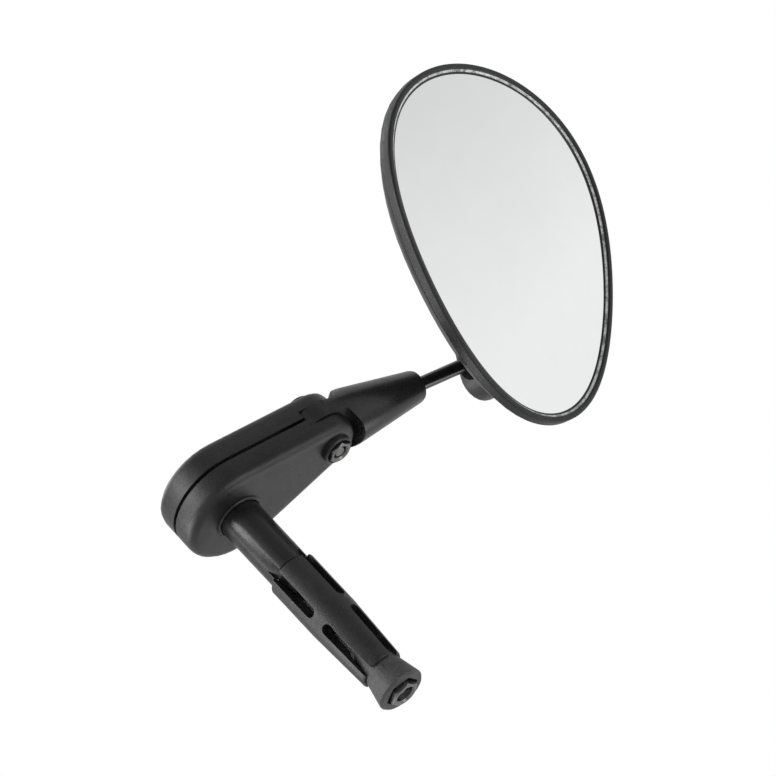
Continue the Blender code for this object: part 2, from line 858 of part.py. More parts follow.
def build_ball_joint(knuckle_axis):
    ball = add_empty("AXIS_ball", shift(0.0, 0.0, BALL_DISTANCE), knuckle_axis)
    lower = turned(
        "ball_seat_lower",
        zone_profile(SEAT_INNER_RADIUS, SEAT_OUTER_RADIUS, math.radians(100), math.radians(138)),
        parent=ball,
        steps=28,
        closed=True,
    )
    finish(lower, NYLON)
    edge = math.radians(78)
    count = 6
    angles = [edge * i / count for i in range(count + 1)]
    section = [(SEAT_OUTER_RADIUS * math.sin(a), SEAT_OUTER_RADIUS * math.cos(a)) for a in angles]
    section += [
        (SEAT_INNER_RADIUS * math.sin(a), SEAT_INNER_RADIUS * math.cos(a))
        for a in reversed(angles)
    ]
    upper = turned("ball_seat_upper", section, parent=ball, steps=28)
    finish(upper, NYLON)


def build_head(knuckle_axis):
    lean = Matrix.Rotation(-KNUCKLE_LEAN, 3, "X")
    along_rod = lean @ Vector((0.0, 0.0, 1.0))
    centre = Vector((TONGUE_X, 0.0, PIVOT_HEIGHT)) + along_rod * BALL_DISTANCE
    axes = mirror_frame()
    head = add_empty("AXIS_mirror_head", Matrix.Translation(centre * MM) @ axes.to_4x4())

    flank = ((0.3, BEZEL_DEPTH + GAP), (0.35, 5.0), (2.2, 7.2), (4.8, 10.0), (6.8, 11.7), (9.5, 12.8))
    tucks = (0.0, 1.0, 1.0, 0.8, 0.5, 0.3)
    rings = [
        (egg(inset, HOUSING_TUCK * share), depth(level))
        for (inset, level), share in zip(flank, tucks)
    ]
    rings.append((shrunk_egg(0.70), depth(HOUSING_DEPTH)))
    rings.append((shrunk_egg(0.66), depth(HOUSING_DEPTH - HOUSING_SKIN)))
    inner_flank = ((12.0, 11.0), (9.4, 10.1), (7.4, 8.7), (5.2, 6.4))
    rings += [(egg(inset), depth(level)) for inset, level in inner_flank]
    ledge = SEAL_DEPTH + SEAL_THICKNESS + GAP
    rings += [
        (egg(5.2), depth(ledge)),
        (egg(BEZEL_WALL + 0.4), depth(ledge)),
        (egg(BEZEL_WALL + 0.4), depth(BEZEL_DEPTH + GAP)),
    ]
    housing = lofted_shell("mirror_housing", rings, head)

    straight = SOCKET_BLOCK_STRAIGHT
    split = GAP / 2
    socket_block = outline_solid(
        "join_socket_block",
        stadium(SOCKET_BLOCK_RADIUS, straight),
        split,
        depth(HOUSING_DEPTH - 1.2),
        parent=head,
        cutter=True,
    )
    pocket = turned(
        "cut_ball_pocket", ball_profile(SOCKET_RADIUS), parent=head, steps=28, cutter=True
    )
    rod_way = axes.transposed() @ -along_rod
    spread = math.tan(ROD_SWING)
    channel = turned(
        "cut_rod_channel",
        [
            (0.0, 20.0),
            (ROD_RADIUS + GAP + 20.0 * spread, 20.0),
            (ROD_RADIUS + GAP, 0.0),
            (0.0, 0.0),
        ],
        rod_way.to_track_quat("Z", "Y").to_matrix().to_4x4(),
        head,
        steps=32,
        cutter=True,
    )
    join(housing, socket_block)
    cut(housing, pocket, channel)
    screw_holes = [
        turned(
            f"cut_screw_hole_{label}",
            disc_profile(CAP_SCREW_RADIUS + GAP, -CAP_DEPTH - 1.0, 3.2),
            shift(0.0, side * CAP_SCREW_OFFSET, 0.0),
            head,
            steps=20,
            cutter=True,
        )
        for label, side in (("a", -1), ("b", 1))
    ]
    cut(housing, *screw_holes)
    finish(housing, SATIN_PLASTIC)

    cap = outline_solid(
        "socket_cap", stadium(SOCKET_BLOCK_RADIUS, straight), -CAP_DEPTH, -split, parent=head
    )
    round_end(cap, -CAP_DEPTH, 1.2, 3)
    head_floor = -CAP_DEPTH + 0.4 + CAP_SCREW_HEAD_HEIGHT
    head_rooms = [
        turned(
            f"cut_screw_head_{label}",
            disc_profile(CAP_SCREW_HEAD_RADIUS + GAP, -CAP_DEPTH - 1.0, head_floor),
            shift(0.0, side * CAP_SCREW_OFFSET, 0.0),
            head,
            steps=24,
            cutter=True,
        )
        for label, side in (("a", -1), ("b", 1))
    ]
    cut(cap, pocket, channel, *screw_holes, *head_rooms)
    finish(cap, SATIN_PLASTIC)

    head_under = head_floor - GAP
    head_top = head_under - CAP_SCREW_HEAD_HEIGHT
    for label, side in (("a", -1), ("b", 1)):
        matrix = shift(0.0, side * CAP_SCREW_OFFSET, 0.0)
        screw = turned(
            f"cap_screw_{label}",
            [
                (0.0, head_under + CAP_SCREW_LENGTH),
                (CAP_SCREW_RADIUS - 0.5, head_under + CAP_SCREW_LENGTH),
                (CAP_SCREW_RADIUS, head_under + CAP_SCREW_LENGTH - 0.8),
                (CAP_SCREW_RADIUS, head_under),
                (CAP_SCREW_HEAD_RADIUS, head_under),
                (CAP_SCREW_HEAD_RADIUS, head_under - 0.7),
                (CAP_SCREW_HEAD_RADIUS - 0.8, head_top),
                (0.0, head_top),
            ],
            matrix,
            head,
            steps=24,
        )
        for turn in (0, 1):
            size = (2.6, 0.6, 2.0) if turn == 0 else (0.6, 2.6, 2.0)
            cross = block(f"cut_cross_{label}_{turn}", size, (0.0, 0.0, head_top), matrix, head)
            cut(screw, cross)
        finish(screw, STEEL)

    bezel_rings = [
        (egg(LIP_WIDTH), depth(LIP_THICKNESS)),
        (egg(LIP_WIDTH), depth(0.35)),
        (egg(LIP_WIDTH - 0.4), depth(0.0)),
        (egg(0.7), depth(0.0)),
        (egg(0.2), depth(0.25)),
        (egg(0.0), depth(0.8)),
        (egg(0.0), depth(BEZEL_DEPTH - 0.3)),
        (egg(0.3), depth(BEZEL_DEPTH)),
        (egg(BEZEL_WALL), depth(BEZEL_DEPTH)),
        (egg(BEZEL_WALL), depth(LIP_THICKNESS)),
    ]
    finish(lofted("bezel_ring", bezel_rings, head, True), SATIN_PLASTIC)

    edge_front = GLASS_EDGE_DEPTH + 0.5
    edge_back = GLASS_EDGE_DEPTH + GLASS_THICKNESS
    front = [(egg(GLASS_INSET), depth(edge_front))]
    front.append((egg(GLASS_INSET + GLASS_BEVEL), depth(GLASS_EDGE_DEPTH)))
    back = [(egg(GLASS_INSET), depth(edge_back))]
    for share in (0.80, 0.62, 0.44, 0.26, 0.10):
        crown = GLASS_CROWN * (1 - (share / 0.95) ** 2)
        front.append((shrunk_egg(share), depth(GLASS_EDGE_DEPTH - crown)))
        back.append((shrunk_egg(share), depth(edge_back - crown)))
    finish(lofted("mirror_glass", front[::-1] + back, head, False), MIRROR)

    seal_rings = [
        (egg(4.8), depth(SEAL_DEPTH)),
        (egg(2.6), depth(SEAL_DEPTH)),
        (egg(2.6), depth(SEAL_DEPTH + SEAL_THICKNESS)),
        (egg(4.8), depth(SEAL_DEPTH + SEAL_THICKNESS)),
    ]
    finish(lofted("glass_seal_ring", seal_rings, head, True), RUBBER)


def lofted_shell(name, rings, parent):
    """A bowl: the rings run down the outside to the back and up the inside to the rim."""
    mesh = bpy.data.meshes.new(name)
    bm = bmesh.new()
    loops = [
        [bm.verts.new(Vector((x, y, height)) * MM) for x, y in outline]
        for outline, height in rings
    ]
    bottom = 6
    count = len(loops)
    for ring in range(count):
        if ring == bottom:
            continue
        upper = loops[ring]
        lower = loops[(ring + 1) % count]
        for i in range(OUTLINE_POINTS):
            k = (i + 1) % OUTLINE_POINTS
            bm.faces.new((upper[i], lower[i], lower[k], upper[k]))
    bm.faces.new(loops[bottom])
    bm.faces.new(loops[bottom + 1])
    bmesh.ops.recalc_face_normals(bm, faces=bm.faces)
    bm.to_mesh(mesh)
    bm.free()
    return place(mesh, name, None, parent)


clear_scene()
PARTS = new_collection("bar_end_mirror")
CUTTERS = new_collection("cutters")

SATIN_PLASTIC = new_material("satin_black_plastic", (0.012, 0.012, 0.013), 0.42)
BLACK_PLASTIC = new_material("gloss_black_plastic", (0.010, 0.010, 0.011), 0.30)
RUBBERY_PLASTIC = new_material("matt_grey_black_plastic", (0.028, 0.028, 0.030), 0.62)
GLOSSY_METAL = new_material("black_coated_steel", (0.010, 0.010, 0.010), 0.22, 0.0)
STEEL = new_material("zinc_plated_steel", (0.42, 0.42, 0.42), 0.38, 1.0)
NYLON = new_material("white_nylon", (0.62, 0.61, 0.57), 0.5)
RUBBER = new_material("black_foam_rubber", (0.02, 0.02, 0.02), 0.85)
MIRROR = new_material("silvered_glass", (0.86, 0.87, 0.87), 0.03, 1.0)

build_plug()
WASHER_FLOOR = build_expander()
build_arm(WASHER_FLOOR)
KNUCKLE_AXIS = build_knuckle()
build_ball_joint(KNUCKLE_AXIS)
build_head(KNUCKLE_AXIS)
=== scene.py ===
"""Looks of the bar-end bicycle mirror: studio, camera, materials and finer visible pieces."""

import json
import math

import bmesh
import bpy
from mathutils import Matrix, Vector


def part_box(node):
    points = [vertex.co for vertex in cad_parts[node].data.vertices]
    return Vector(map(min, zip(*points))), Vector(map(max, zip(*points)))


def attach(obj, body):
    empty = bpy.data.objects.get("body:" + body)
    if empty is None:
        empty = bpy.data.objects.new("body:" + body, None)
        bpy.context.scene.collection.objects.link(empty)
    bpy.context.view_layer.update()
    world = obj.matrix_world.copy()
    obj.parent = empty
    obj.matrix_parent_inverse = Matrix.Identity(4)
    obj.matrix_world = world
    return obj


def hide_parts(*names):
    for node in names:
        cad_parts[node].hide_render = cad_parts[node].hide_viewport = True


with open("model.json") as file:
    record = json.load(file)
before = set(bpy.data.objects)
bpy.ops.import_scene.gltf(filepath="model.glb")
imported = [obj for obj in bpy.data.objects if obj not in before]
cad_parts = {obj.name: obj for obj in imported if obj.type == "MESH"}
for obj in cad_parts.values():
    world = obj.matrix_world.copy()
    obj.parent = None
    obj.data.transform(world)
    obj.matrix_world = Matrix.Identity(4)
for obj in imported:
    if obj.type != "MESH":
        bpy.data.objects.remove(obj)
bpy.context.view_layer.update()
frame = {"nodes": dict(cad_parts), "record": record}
MM = 0.001

# Camera: where it stands, the way it looks and its roll, in degrees
CAMERA_LOCATION = (0.33918, -0.58856, -0.15406)
CAMERA_AZIMUTH = 30.463
CAMERA_ELEVATION = -17.619
CAMERA_ROLL = 54.409
CAMERA_LENS = 107.134
FLOOR_HEIGHT = -1.60

# Expander bolt, M5, along the plug axis (mm)
THREAD_RADIUS = 2.5
THREAD_DEPTH = 0.5
THREAD_PITCH = 0.8
STEPS_PER_PITCH = 8
PLAIN_LENGTH = 22.0
BOLT_SIDES = 30
BOLT_HEAD_RADIUS = 4.25
BOLT_HEAD_HEIGHT = 5.0
BOLT_HEAD_EDGE = 0.5
KEY_HALF_FLATS = 2.0
KEY_DEPTH = 2.6

# Mirror head (mm): an egg outline, narrow end along local +Y, glass facing local +Z
MIRROR_AZIMUTH = math.radians(37.4)
MIRROR_ELEVATION = math.radians(27.4)
MIRROR_ROLL = math.radians(30.1)
EGG_LENGTH = 124.2
EGG_HALF_WIDTH = 46.4
EGG_TAPER = (-0.235, 0.0726, 0.0588)
EGG_CENTRE_Y = -31.5
EGG_POINTS = 300
FRONT_Z = 20.4
LIP_WIDTH = 1.65
BEZEL_WALL = 1.7
BEZEL_DEPTH = 3.6
GLASS_INSET = 1.9
GLASS_FRONT = 1.5
GLASS_THICKNESS = 1.6
GROUND_BAND = 1.4
GREY_BAND = 0.10
GLASS_CROWN = 1.6
GLASS_RINGS = 22


# ---------------------------------------------------------------- node helpers


class Nodes:
    """A material's or a world's node tree with short calls."""

    def __init__(self, tree):
        self.tree = tree

    def add(self, kind, values=None, **settings):
        node = self.tree.nodes.new(kind)
        for key, value in settings.items():
            setattr(node, key, value)
        for key, value in (values or {}).items():
            node.inputs[key].default_value = value
        return node

    def link(self, output, target):
        self.tree.links.new(output, target)
        return target

    def noise(self, coords, scale, detail=3.0, roughness=0.55, distortion=0.0):
        node = self.add(
            "ShaderNodeTexNoise",
            {"Scale": scale, "Detail": detail, "Roughness": roughness, "Distortion": distortion},
        )
        self.link(coords, node.inputs["Vector"])
        return node.outputs["Fac"]

    def remap(self, value, low, high, out_low, out_high):
        node = self.add(
            "ShaderNodeMapRange",
            {"From Min": low, "From Max": high, "To Min": out_low, "To Max": out_high},
        )
        self.link(value, node.inputs["Value"])
        return node.outputs["Result"]

    def mix_colour(self, factor, first, second):
        node = self.add("ShaderNodeMix", data_type="RGBA")
        self.link(factor, node.inputs["Factor"])
        for socket, colour in ((node.inputs[6], first), (node.inputs[7], second)):
            if isinstance(colour, tuple):
                socket.default_value = (*colour, 1.0)
            else:
                self.link(colour, socket)
        return node.outputs[2]

    def math(self, operation, first, second=None):
        node = self.add("ShaderNodeMath", operation=operation)
        for socket, value in zip(node.inputs, (first, second)):
            if value is None:
                continue
            if isinstance(value, (int, float)):
                socket.default_value = value
            else:
                self.link(value, socket)
        return node.outputs[0]

    def bump(self, height, strength, distance, below=None):
        node = self.add("ShaderNodeBump", {"Strength": strength, "Distance": distance})
        self.link(height, node.inputs["Height"])
        if below is not None:
            self.link(below, node.inputs["Normal"])
        return node.outputs["Normal"]


def new_material(name):
    material = bpy.data.materials.new(name)
    material.use_nodes = True
    nodes = Nodes(material.node_tree)
    shader = material.node_tree.nodes["Principled BSDF"]
    coords = nodes.add("ShaderNodeTexCoord").outputs["Object"]
    return material, nodes, shader, coords


# ---------------------------------------------------------------- materials


def moulded_plastic(name, dark, light, roughness, grain, grain_depth, dust=0.0):
    """Injection-moulded plastic: fine eroded grain, faint flow mottling and a little dust."""
    material, nodes, shader, coords = new_material(name)
    mottle = nodes.noise(coords, 160.0, 4.0, 0.6, 0.4)
    flow = nodes.noise(coords, 42.0, 2.0, 0.5, 1.2)
    fine = nodes.noise(coords, grain, 3.0, 0.65)
    patchy = nodes.remap(nodes.math("MULTIPLY", mottle, flow), 0.12, 0.42, 0.0, 1.0)
    colour = nodes.mix_colour(patchy, dark, light)
    peaks = nodes.remap(fine, 0.50, 0.72, 0.0, 0.55)
    colour = nodes.mix_colour(peaks, colour, tuple(2.6 * k for k in light))
    if dust:
        specks = nodes.noise(coords, 1900.0, 2.0, 0.7)
        drift = nodes.noise(coords, 90.0, 3.0, 0.6)
        amount = nodes.math("MULTIPLY", nodes.remap(specks, 0.66, 0.74, 0.0, 1.0),
                            nodes.remap(drift, 0.45, 0.7, 0.0, dust))
        colour = nodes.mix_colour(amount, colour, (0.16, 0.16, 0.155))
    nodes.link(colour, shader.inputs["Base Color"])
    spread = nodes.remap(nodes.noise(coords, 300.0, 4.0, 0.7), 0.3, 0.7,
                         roughness - 0.05, roughness + 0.06)
    nodes.link(spread, shader.inputs["Roughness"])
    wave = nodes.bump(flow, 0.12, 0.4 * MM)
    nodes.link(nodes.bump(fine, 0.8, grain_depth * MM, wave), shader.inputs["Normal"])
    return material


def plated_steel(name, tone, roughness):
    """Zinc plate: slightly clouded, with turning marks and small scratches."""
    material, nodes, shader, coords = new_material(name)
    shader.inputs["Metallic"].default_value = 1.0
    cloud = nodes.noise(coords, 420.0, 4.0, 0.6, 0.5)
    colour = nodes.mix_colour(nodes.remap(cloud, 0.35, 0.65, 0.0, 1.0),
                              tuple(tone * k for k in (0.94, 0.93, 0.90)),
                              tuple(tone * k for k in (1.10, 1.10, 1.12)))
    nodes.link(colour, shader.inputs["Base Color"])
    nodes.link(nodes.remap(cloud, 0.3, 0.7, roughness - 0.08, roughness + 0.10),
               shader.inputs["Roughness"])
    stretch = nodes.add("ShaderNodeMapping", {"Scale": (9.0, 1.0, 1.0)})
    nodes.link(coords, stretch.inputs["Vector"])
    marks = nodes.noise(stretch.outputs["Vector"], 900.0, 2.0, 0.5)
    nodes.link(nodes.bump(marks, 0.25, 0.03 * MM), shader.inputs["Normal"])
    return material


def coated_rod(name):
    """Smooth black coating over steel, with faint drawing lines and rub marks."""
    material, nodes, shader, coords = new_material(name)
    shader.inputs["Coat Weight"].default_value = 0.35
    shader.inputs["Coat Roughness"].default_value = 0.12
    rub = nodes.noise(coords, 240.0, 5.0, 0.7, 0.6)
    nodes.link(nodes.mix_colour(nodes.remap(rub, 0.4, 0.75, 0.0, 1.0),
                                (0.006, 0.006, 0.007), (0.016, 0.016, 0.017)),
               shader.inputs["Base Color"])
    nodes.link(nodes.remap(rub, 0.3, 0.7, 0.16, 0.27), shader.inputs["Roughness"])
    nodes.link(nodes.bump(nodes.noise(coords, 2600.0, 2.0), 0.12, 0.02 * MM),
               shader.inputs["Normal"])
    return material


def silvered_face(name):
    """The mirror's front: silver under clear glass, with a trace of haze."""
    material, nodes, shader, coords = new_material(name)
    shader.inputs["Metallic"].default_value = 1.0
    haze = nodes.noise(coords, 55.0, 5.0, 0.6, 0.8)
    nodes.link(nodes.mix_colour(haze, (0.90, 0.905, 0.905), (0.95, 0.955, 0.955)),
               shader.inputs["Base Color"])
    nodes.link(nodes.remap(haze, 0.3, 0.7, 0.015, 0.05), shader.inputs["Roughness"])
    nodes.link(nodes.bump(haze, 0.02, 0.05 * MM), shader.inputs["Normal"])
    return material


def painted_glint_edge(name):
    """The glass's ground rim and the lip's inner chamfer: a painted highlight of near-white colour,
    broken into bright crushed facets between dull ones.
    """
    material, nodes, shader, coords = new_material(name)
    shader.inputs["Metallic"].default_value = 0.15
    glint_cells = nodes.add("ShaderNodeTexVoronoi", {"Scale": 1500.0}, feature="F1")
    nodes.link(coords, glint_cells.inputs["Vector"])
    tone = nodes.remap(glint_cells.outputs["Distance"], 0.0, 0.8, 0.0, 1.0)
    bright = nodes.mix_colour(tone, (0.95, 0.96, 0.96), (0.55, 0.56, 0.56))
    broken = nodes.remap(nodes.noise(coords, 260.0, 5.0, 0.75), 0.40, 0.52, 0.0, 1.0)
    nodes.link(nodes.mix_colour(broken, (0.22, 0.22, 0.22), bright), shader.inputs["Base Color"])
    nodes.link(nodes.remap(nodes.noise(coords, 1200.0), 0.3, 0.7, 0.15, 0.5),
               shader.inputs["Roughness"])
    nodes.link(nodes.bump(glint_cells.outputs["Distance"], 0.6, 0.08 * MM), shader.inputs["Normal"])
    return material


def grey_margin(name):
    """The glass's unsilvered margin: clear glass over dark backing paint."""
    material, nodes, shader, coords = new_material(name)
    shader.inputs["Coat Weight"].default_value = 0.6
    shader.inputs["Coat Roughness"].default_value = 0.05
    cloud = nodes.noise(coords, 700.0, 4.0, 0.6)
    nodes.link(nodes.mix_colour(cloud, (0.045, 0.045, 0.046), (0.085, 0.085, 0.086)),
               shader.inputs["Base Color"])
    nodes.link(nodes.remap(cloud, 0.3, 0.7, 0.25, 0.42), shader.inputs["Roughness"])
    nodes.link(nodes.bump(cloud, 0.15, 0.04 * MM), shader.inputs["Normal"])
    return material


def nylon(name):
    material, nodes, shader, coords = new_material(name)
    shader.inputs["Subsurface Weight"].default_value = 0.1
    shade = nodes.noise(coords, 500.0, 4.0)
    nodes.link(nodes.mix_colour(shade, (0.60, 0.59, 0.54), (0.70, 0.69, 0.65)),
               shader.inputs["Base Color"])
    nodes.link(nodes.remap(shade, 0.3, 0.7, 0.4, 0.55), shader.inputs["Roughness"])
    nodes.link(nodes.bump(shade, 0.2, 0.05 * MM), shader.inputs["Normal"])
    return material


def foam_rubber(name):
    material, nodes, shader, coords = new_material(name)
    cells = nodes.add("ShaderNodeTexVoronoi", {"Scale": 2600.0})
    nodes.link(coords, cells.inputs["Vector"])
    nodes.link(nodes.mix_colour(cells.outputs["Distance"], (0.008, 0.008, 0.008),
                                (0.03, 0.03, 0.03)), shader.inputs["Base Color"])
    nodes.link(nodes.remap(cells.outputs["Distance"], 0.0, 0.8, 0.95, 0.75),
               shader.inputs["Roughness"])
    nodes.link(nodes.bump(cells.outputs["Distance"], 0.6, 0.1 * MM), shader.inputs["Normal"])
    return material


SATIN = moulded_plastic("satin_black_plastic", (0.010, 0.010, 0.011), (0.017, 0.017, 0.018),
                        0.40, 2400.0, 0.10, 0.5)
RIM = moulded_plastic("rim_black_plastic", (0.006, 0.006, 0.007), (0.011, 0.011, 0.012),
                      0.44, 2600.0, 0.05, 0.3)
ARM = moulded_plastic("arm_black_plastic", (0.007, 0.007, 0.008), (0.014, 0.014, 0.015),
                      0.34, 2300.0, 0.14, 0.6)
GLOSS = moulded_plastic("gloss_black_plastic", (0.007, 0.007, 0.008), (0.013, 0.013, 0.014),
                        0.27, 3000.0, 0.02, 0.4)
MATT = moulded_plastic("matt_black_plastic", (0.028, 0.028, 0.029), (0.055, 0.055, 0.056),
                       0.52, 1900.0, 0.08, 0.6)
STEEL = plated_steel("zinc_plated_steel", 0.20, 0.36)
ROD = coated_rod("black_coated_steel")
SILVER = silvered_face("silvered_glass")
BOLT_STEEL = plated_steel("dark_bolt_steel", 0.30, 0.40)
# painted highlight: near-white colour standing in for the glint on the bezel lip's inner chamfer and
# the glass's ground edge
PAINTED_GLINT_EDGE = painted_glint_edge("painted_glint_rim")
MARGIN = grey_margin("unsilvered_margin")
PAINT = moulded_plastic("backing_paint", (0.05, 0.05, 0.052), (0.09, 0.09, 0.092),
                        0.60, 1500.0, 0.05)
NYLON = nylon("white_nylon")
FOAM = foam_rubber("foam_rubber")

NODE_MATERIALS = {
    "plug_tube": GLOSS,
    "expander_sleeve": SATIN,
    "expander_wedge": MATT,
    "expander_nut": STEEL,
    "expander_bolt": STEEL,
    "expander_washer": STEEL,
    "arm_shell_inner": ARM,
    "arm_shell_outer": ARM,
    "pivot_bolt": STEEL,
    "pivot_nut": STEEL,
    "friction_washer_inner": STEEL,
    "friction_washer_outer": STEEL,
    "knuckle": GLOSS,
    "mirror_rod": ROD,
    "ball_seat_lower": NYLON,
    "ball_seat_upper": NYLON,
    "mirror_housing": RIM,
    "socket_cap": SATIN,
    "cap_screw_a": STEEL,
    "cap_screw_b": STEEL,
    "bezel_ring": SATIN,
    "mirror_glass": SILVER,
    "glass_seal_ring": FOAM,
}


# ---------------------------------------------------------------- CAD nodes


def smooth_by_angle(limit):
    """Geometry nodes that shade smooth everywhere but at edges sharper than the limit."""
    tree = bpy.data.node_groups.new("smooth_by_angle", "GeometryNodeTree")
    tree.interface.new_socket("Geometry", in_out="INPUT", socket_type="NodeSocketGeometry")
    tree.interface.new_socket("Geometry", in_out="OUTPUT", socket_type="NodeSocketGeometry")
    nodes = Nodes(tree)
    source = nodes.add("NodeGroupInput")
    result = nodes.add("NodeGroupOutput")
    faces = nodes.add("GeometryNodeSetShadeSmooth", {"Shade Smooth": True}, domain="FACE")
    edges = nodes.add("GeometryNodeSetShadeSmooth", domain="EDGE")
    angle = nodes.add("GeometryNodeInputMeshEdgeAngle")
    gentle = nodes.add("FunctionNodeCompare", operation="LESS_THAN", data_type="FLOAT")
    gentle.inputs[1].default_value = math.radians(limit)
    nodes.link(angle.outputs["Unsigned Angle"], gentle.inputs[0])
    nodes.link(source.outputs[0], faces.inputs["Geometry"])
    nodes.link(faces.outputs[0], edges.inputs["Geometry"])
    nodes.link(gentle.outputs[0], edges.inputs["Shade Smooth"])
    nodes.link(edges.outputs[0], result.inputs[0])
    return tree


SMOOTH = smooth_by_angle(32.0)


def shade_smooth(obj):
    obj.modifiers.new("Smooth by angle", "NODES").node_group = SMOOTH


def finish_nodes():
    """Give every CAD node its material, join its loose faces and shade it smooth."""
    for name, node in frame["nodes"].items():
        node.data.materials.clear()
        node.data.materials.append(NODE_MATERIALS[name])
        weld = node.modifiers.new("Weld", "WELD")
        weld.merge_threshold = 2e-6
        shade_smooth(node)


# ---------------------------------------------------------------- finer pieces


def head_matrix():
    """Place of the mirror head: its axes, at the ball's centre."""
    joint = next(j for j in frame["record"]["behaviour"]["joints"] if j["name"] == "mirror_turn")
    facing = Vector(
        (
            math.sin(MIRROR_AZIMUTH) * math.cos(MIRROR_ELEVATION),
            -math.cos(MIRROR_AZIMUTH) * math.cos(MIRROR_ELEVATION),
            math.sin(MIRROR_ELEVATION),
        )
    )
    level = Vector((math.cos(MIRROR_AZIMUTH), math.sin(MIRROR_AZIMUTH), 0.0))
    narrow_end = level * math.cos(MIRROR_ROLL) - facing.cross(level) * math.sin(MIRROR_ROLL)
    turn = Matrix((narrow_end.cross(facing), narrow_end, facing)).transposed()
    return Matrix.Translation(Vector(joint["pos_m"])) @ turn.to_4x4()


def egg(inset):
    """Outline of the mirror head, moved inward along its normals."""
    outline = []
    k1, k2, k3 = EGG_TAPER
    for i in range(EGG_POINTS):
        angle = 2 * math.pi * i / EGG_POINTS
        s, c = math.sin(angle), math.cos(angle)
        swell = 1 + k1 * s + k2 * s**2 + k3 * s**3
        slope = (k1 + 2 * k2 * s + 3 * k3 * s**2) * c
        dx = EGG_HALF_WIDTH * (-s * swell + c * slope)
        dy = EGG_LENGTH / 2 * c
        inward = inset / math.hypot(dx, dy)
        outline.append((EGG_HALF_WIDTH * c * swell - inward * dy,
                        EGG_CENTRE_Y + EGG_LENGTH / 2 * s + inward * dx))
    return outline


def new_piece(name, mesh, materials, body, node):
    """A finer piece in place of a CAD node, on that node's body."""
    piece = bpy.data.objects.new(name, mesh)
    bpy.context.scene.collection.objects.link(piece)
    for material in materials:
        mesh.materials.append(material)
    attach(piece, body)
    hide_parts(node)
    shade_smooth(piece)


def skinned(name, rings, materials_of_rings, matrix, capped=False):
    """Skin rings of equal length in order; cap both ends, or close the last to the first."""
    bm = bmesh.new()
    loops = [[bm.verts.new(matrix @ (Vector(point) * MM)) for point in ring] for ring in rings]
    if capped:
        for loop, material in ((loops[0], materials_of_rings[0]), (loops[-1], materials_of_rings[-1])):
            cap = bm.faces.new(loop)
            cap.smooth = True
            cap.material_index = material
    following = loops[1:] if capped else loops[1:] + loops[:1]
    for number, (upper, lower) in enumerate(zip(loops, following)):
        for i in range(len(upper)):
            k = (i + 1) % len(upper)
            face = bm.faces.new((upper[i], lower[i], lower[k], upper[k]))
            face.smooth = True
            face.material_index = materials_of_rings[number]
    bmesh.ops.recalc_face_normals(bm, faces=bm.faces)
    mesh = bpy.data.meshes.new(name)
    bm.to_mesh(mesh)
    bm.free()
    return mesh


def scaled(outline, share):
    """The outline drawn in towards the egg's centre."""
    return [(x * share, EGG_CENTRE_Y + (y - EGG_CENTRE_Y) * share) for x, y in outline]


def at_height(outline, height):
    return [(x, y, height) for x, y in outline]


def make_bezel(matrix):
    """The rim: a rounded lip over the glass and a wall, with softly rounded edges."""
    def rounded(centre_inset, centre_depth, radius, start, end, count=6):
        steps = [start + (end - start) * i / (count - 1) for i in range(count)]
        return [(centre_inset + radius * math.cos(math.radians(a)),
                 centre_depth - radius * math.sin(math.radians(a))) for a in steps]

    section = [
        (LIP_WIDTH + 1.75, GLASS_FRONT - 0.05),
        (LIP_WIDTH + 1.05, 1.10),
        (LIP_WIDTH + 0.40, 0.65),
        (LIP_WIDTH + 0.08, 0.10),
        (LIP_WIDTH - 0.10, 0.0),
    ]
    section += rounded(0.75, 0.75, 0.75, 90, 180, 8)
    section += [(0.0, 1.6), (0.0, 2.4)]
    section += rounded(0.3, BEZEL_DEPTH - 0.3, 0.3, 180, 270)
    section += [(BEZEL_WALL, BEZEL_DEPTH), (BEZEL_WALL, GLASS_FRONT)]
    rings = [at_height(egg(inset), FRONT_Z - level) for inset, level in section]
    materials = [0] * len(rings)
    # the lip's inner chamfer gets the near-white glint colour: a painted highlight ring on the black
    # rim
    materials[1] = 1
    mesh = skinned("bezel_ring_fine", rings, materials, matrix)
    new_piece("bezel_ring_fine", mesh, [RIM, PAINTED_GLINT_EDGE], "head", "bezel_ring")


def make_glass(matrix):
    """Crowned glass: silvered face, a grey unsilvered margin and a ground edge with a painted
    highlight of bright facets.
    """
    front = FRONT_Z - GLASS_FRONT
    back = front - GLASS_THICKNESS
    rings, materials = [], []
    face_edge = egg(GLASS_INSET + GROUND_BAND + GREY_BAND)
    for step in range(1, GLASS_RINGS + 1):
        share = step / GLASS_RINGS
        crown = GLASS_CROWN * (1 - share**2)
        rings.append(at_height(scaled(face_edge, share), front + 0.1 + crown))
        materials.append(0)
    materials[-1] = 1
    rings.append(at_height(egg(GLASS_INSET + GROUND_BAND), front))
    # the ground edge: pale ground glass whose bright facets are a painted glint
    materials.append(2)
    rings.append(at_height(egg(GLASS_INSET + 0.25), front - 0.12))
    materials.append(2)
    rings.append(at_height(egg(GLASS_INSET), front - 0.5))
    materials.append(2)
    rings.append(at_height(egg(GLASS_INSET), back))
    materials.append(3)
    for share in (0.8, 0.5, 0.25, 1 / GLASS_RINGS):
        crown = GLASS_CROWN * (1 - share**2)
        rings.append(at_height(scaled(face_edge, share), back + crown))
        materials.append(3)
    mesh = skinned("mirror_glass_fine", rings, materials, matrix, capped=True)
    new_piece("mirror_glass_fine", mesh, [SILVER, MARGIN, PAINTED_GLINT_EDGE, PAINT], "head",
              "mirror_glass")


def thread_height(turns):
    """Height of a rounded 60 degree thread over its root, for a place along the pitch."""
    part = turns % 1.0
    return min(1.0, max(0.0, 1.25 - abs(part - 0.5) * 2.5))


